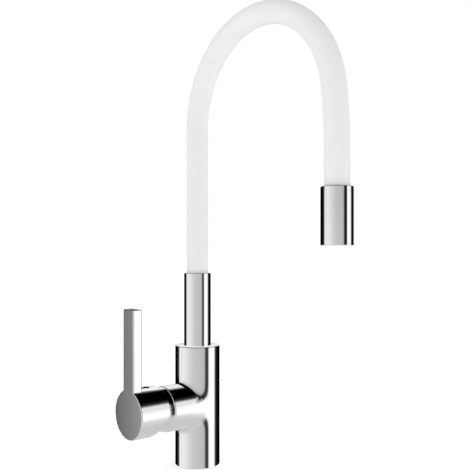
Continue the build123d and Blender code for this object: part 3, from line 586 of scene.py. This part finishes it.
leverHandle = makePiece("leverHandle", [(capGrid(), True)], "chrome_plate")
blade = makePiece("blade", [(bladeGrid(), True)], "chrome_plate")
combine(leverHandle, blade, "UNION")
radius, start = lever["boss"]
combine(leverHandle, rod(radius, start, lever["faceBack"] + lever["bossOverlap"], armFoot,
                         -right, up), "UNION")
radius, start = lever["plugHole"]
combine(leverHandle, rod(radius, start, lever["plugCut"], (-lever["plugSpot"], 0, 0), up, right),
        "DIFFERENCE")
finishPiece(leverHandle, "chrome_plate", weighted=False)
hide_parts("lever_handle")
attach(leverHandle, "lever")
print("lever made,", len(leverHandle.data.polygons), "faces")

# Plug in the hole of the lever's grub screw
plug = {"radius": 3.6, "foot": 83.8, "top": 87.5, "fillet": 0.2, "segments": 64}
plugLine = rounded([(0, plug["foot"], 0), (plug["radius"], plug["foot"], 0),
                    (plug["radius"], plug["top"], plug["fillet"]), (0, plug["top"], 0)])
screwPlug = makePiece("screwPlug", [(turned(plugLine, fullTurn(plug["segments"]),
                                            (-lever["plugSpot"], 0, 0), up, right), True)],
                      "plug_plastic")
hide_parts("screw_plug")
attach(screwPlug, "lever")

# Chrome sleeve at the foot of the neck, and the outlet at its end: tubes with a lip inside the
# top. Foot fillets are the bore's and the outside's, top fillets the outside's and the lip's
sleeve = {"bore": 12.6, "foot": 116.0, "top": 199.6, "footFillets": (0.2, 0.2),
          "topFillets": (0.4, 0.3)}
outlet = {"bore": 12.7, "foot": 227.9, "top": 277.8, "footFillets": (0.3, 0.4),
          "topFillets": (0.7, 0.3)}
tubes = {"radius": 14.0, "lipBore": 11.4, "lip": 2.0, "segments": 160}


def chromeTube(name, tube, spot):
    # A closed outline of a tube with its lip, turned about the upright axis through a spot
    foot, top, lipFoot = tube["foot"], tube["top"], tube["top"] - tubes["lip"]
    boreFillet, footFillet = tube["footFillets"]
    topFillet, lipFillet = tube["topFillets"]
    line = rounded([(tube["bore"], foot, boreFillet), (tubes["radius"], foot, footFillet),
                    (tubes["radius"], top, topFillet), (tubes["lipBore"], top, lipFillet),
                    (tubes["lipBore"], lipFoot, 0), (tube["bore"], lipFoot, 0)])
    grid = turned(closedLine(line), fullTurn(tubes["segments"]), spot, up, right)
    return makePiece(name, [(grid, True)], "chrome_plate")


spoutSleeve = chromeTube("spoutSleeve", sleeve, (0, 0, 0))
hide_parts("spout_sleeve")
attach(spoutSleeve, "spout")

# The outlet hangs in the middle of its node's box
low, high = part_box("outlet_housing")
outletHousing = chromeTube("outletHousing", outlet, (0, (low.y + high.y) / 2 / mm, 0))
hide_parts("outlet_housing")
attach(outletHousing, "head")
print("dome, plug, sleeve and outlet made")

# Neck: the silicone hose and the water hose, in one length for each joint that they cross
neck = {"seat": 118.0, "rise": 233.4, "archRadius": 96.3, "lean": 6.1, "easeRadius": 556.0,
        "firstJoint": 110.0, "pitch": 80.0, "joints": 6, "reach": 30.0, "step": 1.6,
        "segments": 96, "sharpAngle": 40.0,
        "bodies": ("spout", "neck_2", "neck_3", "neck_4", "neck_5", "neck_6", "head")}
hoses = {
    "siliconeHose": {"node": "silicone_hose", "radius": 11.1, "bore": 9.5, "start": 8.2,
                     "end": 631.5},
    "waterHose": {"node": "inner_water_hose", "radius": 4.2, "bore": 3.0, "start": 0.2,
                  "end": 637.5},
}


def neckLine(along):
    # Place and heading at a distance from the seat: straight up, an arc of radius A, an arc of
    # radius E that turns by the lean, and straight down. Heading w is measured from upright:
    # y = -A (1 - cos a) + E (cos w - cos w1), z = seat + up + A sin a + E (sin w - sin w1) - down
    lean = math.radians(neck["lean"])
    first, arch, ease = neck["rise"], neck["archRadius"], neck["easeRadius"]
    most = math.pi - lean
    a = np.clip((along - first) / arch, 0, most)
    b = np.clip((along - first - arch * most) / ease, 0, lean)
    down = np.maximum(along - first - arch * most - ease * lean, 0)
    y = -arch * (1 - np.cos(a)) + ease * (np.cos(most + b) - math.cos(most))
    z = neck["seat"] + np.minimum(along, first) + arch * np.sin(a) - down
    z = z + ease * (np.sin(most + b) - math.sin(most))
    return y, z, a + b


def hoseGrid(hose, start, end):
    # A ring carried along the neck line: place + r (cos(t) side + sin(t) outward), first the
    # outside from start to end, then the bore back again
    run = np.linspace(start, end, max(2, round((end - start) / neck["step"])) + 1)
    along = np.concatenate([run, run[::-1], run[:1]])
    size = np.concatenate([np.full(len(run), hose["radius"]), np.full(len(run), hose["bore"]),
                           [hose["radius"]]])
    y, z, heading = neckLine(along)
    turn = fullTurn(neck["segments"])
    outward = size[:, None] * np.sin(turn)
    return np.stack([size[:, None] * np.cos(turn), y[:, None] + outward * np.cos(heading)[:, None],
                     z[:, None] + outward * np.sin(heading)[:, None]], axis=-1)


def hoseMap(mesh, start, end):
    # U runs round the hose, measured on the silicone hose's outside, and V along it, in metres,
    # both worked out from the points: an angle about the neck line from its nearest place,
    # found on a fine table of it
    margin, fineStep = 5.0, 0.5
    corner = np.empty(len(mesh.loops), int)
    mesh.loops.foreach_get("vertex_index", corner)
    points = np.empty(len(mesh.vertices) * 3)
    mesh.vertices.foreach_get("co", points)
    points = points.reshape(-1, 3) / mm
    table = np.arange(start - margin, end + margin, fineStep)
    y, z, heading = neckLine(table)
    near = np.argmin((points[:, 1:2] - y) ** 2 + (points[:, 2:] - z) ** 2, axis=1)
    across = (points[:, 1] - y[near]) * np.cos(heading[near])
    across = across + (points[:, 2] - z[near]) * np.sin(heading[near])
    angle = np.arctan2(across, points[:, 0])
    uv = np.stack([angle * hoses["siliconeHose"]["radius"], table[near]], axis=-1)[corner] * mm
    layer = mesh.uv_layers.new(name="hoseMap")
    layer.data.foreach_set("uv", uv.astype(np.float32).ravel())


joints = [neck["firstJoint"] + neck["pitch"] * number for number in range(neck["joints"])]
for name, hose in hoses.items():
    cuts = [hose["start"], *[joint + neck["pitch"] / 2 for joint in joints[:-1]], hose["end"]]
    for number, (joint, start, end) in enumerate(zip(joints, cuts, cuts[1:])):
        grid = hoseGrid(hose, start, end)
        piece = makePiece(f"{name}{number + 1}", [(grid, True)], slotOf[hose["node"]],
                          neck["sharpAngle"], False)
        hoseMap(piece.data, start, end)
        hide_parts(hose["node"])
        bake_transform(piece)
print("hoses made")


# Stage, light and camera

white = (1, 1, 1, 1)
stageLook = {"floorSize": 30.0, "floorLift": 0.15, "floorGlow": 0.26}
floorMesh = bpy.data.meshes.new("floor")
half = stageLook["floorSize"] / 2
floorMesh.from_pydata([(-half, -half, 0), (half, -half, 0), (half, half, 0), (-half, half, 0)], [],
                      [(0, 1, 2, 3)])
floor = bpy.data.objects.new("floor", floorMesh)
bpy.context.scene.collection.objects.link(floor)
# White paper: matt, and it takes the shadow. Mirrors see the studio beyond it instead
paper = bpy.data.materials.new("whitePaper")
paper.use_nodes = True
tree = paper.node_tree
tree.nodes.remove(tree.nodes["Principled BSDF"])
ray = addNode(tree, "ShaderNodeLightPath")
matt = addNode(tree, "ShaderNodeBsdfDiffuse", {"Color": white})
lift = addNode(tree, "ShaderNodeMath", {0: ray.outputs["Is Camera Ray"],
                                        1: stageLook["floorLift"], 2: stageLook["floorGlow"]},
               operation="MULTIPLY_ADD")
glow = addNode(tree, "ShaderNodeEmission", {"Color": white, "Strength": lift.outputs["Value"]})
seen = addNode(tree, "ShaderNodeAddShader", {0: matt.outputs["BSDF"],
                                             1: glow.outputs["Emission"]})
clear = addNode(tree, "ShaderNodeBsdfTransparent")
both = addNode(tree, "ShaderNodeMixShader", {"Fac": ray.outputs["Is Glossy Ray"],
                                             1: seen.outputs["Shader"],
                                             2: clear.outputs["BSDF"]})
tree.links.new(both.outputs["Shader"], tree.nodes["Material Output"].inputs["Surface"])
floorMesh.materials.append(paper)

# The studio in the world: what a mirror sees at each compass angle, in degrees from +X over
# +Y, as sRGB tones in hex. A white panel in front of the spout, black flags at the sides, a
# grey room behind the camera with one narrow dark post, and a second panel beyond the lever
studio = {
    "gain": 1.397,
    "ring": ((-180, "#DDDDDD"), (-153, "#C9C9C9"), (-138, "#C3C3C3"),
             (-106, "#BEBEBE"), (-96, "#B8B8B8"), (-90, "#ACACAC"), (-87, "#787878"),
             (-84, "#3C3C3C"), (-73, "#383838"), (-70, "#787878"), (-66, "#E1E1E1"),
             (-60, "#FFFFFF"), (-33, "#FFFFFF"), (-29, "#C8C8C8"), (-26, "#969696"),
             (-22.5, "#525252"), (-18, "#343434"), (-10, "#141414"), (0, "#060606"),
             (10, "#000000"), (85, "#000000"), (104, "#0C0C0C"), (117, "#2E2E2E"),
             (119.5, "#4C4C4C"), (121, "#727272"), (122.7, "#8A8A8A"), (125.5, "#B4B4B4"),
             (132, "#FDFDFD"), (135, "#F2F2F2"), (140, "#DEDEDE"),
             (154, "#EEEEEE"), (180, "#DDDDDD")),
    # How the ring changes with the height above the horizon, the floor's tones below it, and
    # the floor's share at each height
    "above": ((0, "#FFFFFF"), (4, "#F9F9F9"), (9, "#F4F4F4"), (12.5, "#EBEBEB"),
              (16, "#E0E0E0"), (20, "#E5E5E5"), (24, "#E4E4E4"), (27, "#DEDEDE"),
              (29, "#C8C8C8"), (31, "#A2A2A2"), (33, "#707070"), (35, "#444444"),
              (38, "#2A2A2A"), (41.5, "#141414"), (44, "#060606"), (46, "#020202")),
    "floor": ((-60, "#C5C5C5"), (-45, "#C8C8C8"), (-34, "#CBCBCB"), (-18, "#CECECE")),
    "horizon": ((-42, 1), (-34, 0.9), (-30, 0.82), (-26, 0.72), (-22, 0.5), (-20, 0.25),
                (-17, 0)),
    # The dark post is wider just above the horizon, where only the outlet can mirror it
    "post": ((-95, 1), (-91, 0.75), (-86, 0.35), (-80, 0.3), (-74, 0.2), (-70, 0.12),
             (-67, 0.1), (-65, 0.4), (-63, 1)),
    "postHeight": ((-1, 0), (0, 1), (4.8, 1), (5.8, 0)),
    # A pale wall behind the object, which only edges that lean up can mirror
    "wallRing": ((24, "#000000"), (32, "#E8E8E8"), (74, "#E8E8E8"), (80, "#000000")),
    "wallHeight": ((5, 0), (8, 1), (40, 1), (48.5, 0.12), (53, 0.01), (55, 0)),
    # Light on matt surfaces, and its fall along X, Y and Z: the top and the camera's side,
    # where X and Y are negative, are weaker
    "diffuse": 1.51, "diffuseFall": (-0.12, -0.155, 1.2),
}
world = bpy.data.worlds.new("studio")
bpy.context.scene.world = world
world.use_nodes = True
tree = world.node_tree
tree.nodes.clear()
way = addNode(tree, "ShaderNodeTexCoord").outputs["Generated"]
parts = addNode(tree, "ShaderNodeSeparateXYZ", {0: way})
compass = addNode(tree, "ShaderNodeMath", {0: parts.outputs["Y"], 1: parts.outputs["X"]},
                  operation="ARCTAN2").outputs["Value"]
height = addNode(tree, "ShaderNodeMath", {0: parts.outputs["Z"]},
                 operation="ARCSINE").outputs["Value"]


def tones(angle, name):
    # A ramp over half or a full turn: the stops' degrees become shares of it
    full = 360 if angle == compass else 180
    limit = math.radians(full / 2)
    share = addNode(tree, "ShaderNodeMapRange", {"Value": angle, "From Min": -limit,
                                                 "From Max": limit})
    stops = [(place / full + 0.5, linear(tone) if isinstance(tone, str) else (tone,) * 3 + (1,))
             for place, tone in studio[name]]
    return addNode(tree, "ShaderNodeValToRGB", {"Fac": share.outputs["Result"]},
                   stops).outputs["Color"]


def vectorMath(operation, first, second):
    # Two colours combined channel by channel
    return addNode(tree, "ShaderNodeVectorMath", {0: first, 1: second},
                   operation=operation).outputs["Vector"]


def mixColours(share, first, second):
    # A colour mix takes its colours in inputs 6 and 7 and gives the result in output 2
    return addNode(tree, "ShaderNodeMix", {0: share, 6: first, 7: second},
                   data_type="RGBA").outputs[2]


panels = vectorMath("MULTIPLY", tones(compass, "ring"), tones(height, "above"))
post = mixColours(tones(height, "postHeight"), white, tones(compass, "post"))
panels = vectorMath("MULTIPLY", panels, post)
wall = vectorMath("MULTIPLY", tones(compass, "wallRing"), tones(height, "wallHeight"))
walls = vectorMath("MAXIMUM", panels, wall)
withFloor = mixColours(tones(height, "horizon"), walls, tones(height, "floor"))
mirrored = addNode(tree, "ShaderNodeVectorMath", {0: withFloor, "Scale": studio["gain"]},
                   operation="SCALE").outputs["Vector"]
# Matt surfaces get a plain soft light, weaker from above, where the lamp adds its own
facing = addNode(tree, "ShaderNodeVectorMath", {0: way, 1: studio["diffuseFall"]},
                 operation="DOT_PRODUCT").outputs["Value"]
soft = addNode(tree, "ShaderNodeMath", {0: studio["diffuse"], 1: facing},
               operation="SUBTRACT").outputs["Value"]
softColour = addNode(tree, "ShaderNodeCombineXYZ", {0: soft, 1: soft, 2: soft}).outputs["Vector"]
ray = addNode(tree, "ShaderNodeLightPath")
lit = mixColours(ray.outputs["Is Glossy Ray"], softColour, mirrored)
direct = addNode(tree, "ShaderNodeMath", {0: ray.outputs["Is Camera Ray"],
                                          1: ray.outputs["Is Transmission Ray"]},
                 operation="MAXIMUM").outputs["Value"]
shown = mixColours(direct, lit, white)
light = addNode(tree, "ShaderNodeBackground", {"Color": shown})
addNode(tree, "ShaderNodeOutputWorld", {"Surface": light.outputs["Background"]})

# One soft lamp overhead draws the shadow on the floor
lamp = {"size": 0.9, "power": 1.2, "spot": (-0.15, -0.25, 1.3)}
lampData = bpy.data.lights.new("softLamp", "AREA")
lampData.size, lampData.energy = lamp["size"], lamp["power"]
softLamp = bpy.data.objects.new("softLamp", lampData)
softLamp.location = lamp["spot"]
softLamp.visible_glossy = False
bpy.context.scene.collection.objects.link(softLamp)

camera = {"lens": 55.36, "spot": (-0.4605, -0.607, 0.2243), "turn": -40.16, "shift": 0.0309}
lensData = bpy.data.cameras.new("camera")
lensData.lens, lensData.shift_y = camera["lens"], camera["shift"]
viewer = bpy.data.objects.new("camera", lensData)
viewer.location = camera["spot"]
viewer.rotation_euler = (math.radians(90), 0, math.radians(camera["turn"]))
bpy.context.scene.collection.objects.link(viewer)
bpy.context.scene.camera = viewer
bpy.context.scene.view_settings.view_transform = "Standard"
print("stage, light and camera set")

# Mirrors show the studio alone
for piece in bpy.context.scene.objects:
    if piece.type == "MESH" and piece != floor:
        piece.visible_glossy = False
